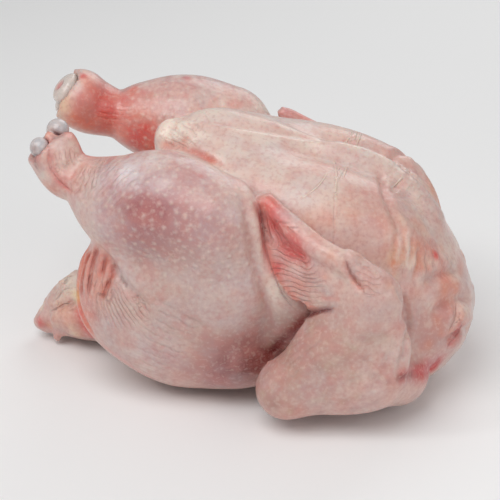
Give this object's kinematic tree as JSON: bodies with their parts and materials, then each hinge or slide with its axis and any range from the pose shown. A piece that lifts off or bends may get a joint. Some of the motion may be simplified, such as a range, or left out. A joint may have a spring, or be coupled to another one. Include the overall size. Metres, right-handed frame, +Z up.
{
  "type": "whole raw chicken",
  "caption": "Whole plucked and drawn raw chicken lying on its back, breast up, wings folded at its sides, with the body cavity open between the legs.",
  "frame": {"origin": "middle of the footprint, on the surface that the back rests on", "axes": "+X towards the neck end, +Y towards the bird's right side, +Z up out of the breast"},
  "size_m": [0.215, 0.152, 0.1312],
  "materials": {
    "skin": "moist raw skin, pale cream to pink",
    "cartilage": "wet, smooth, blue-grey white"
  },
  "bodies": {
    "root": {"chicken": "skin", "left_leg_bone": "cartilage", "right_leg_bone": "cartilage"}
  },
  "joints": []
}
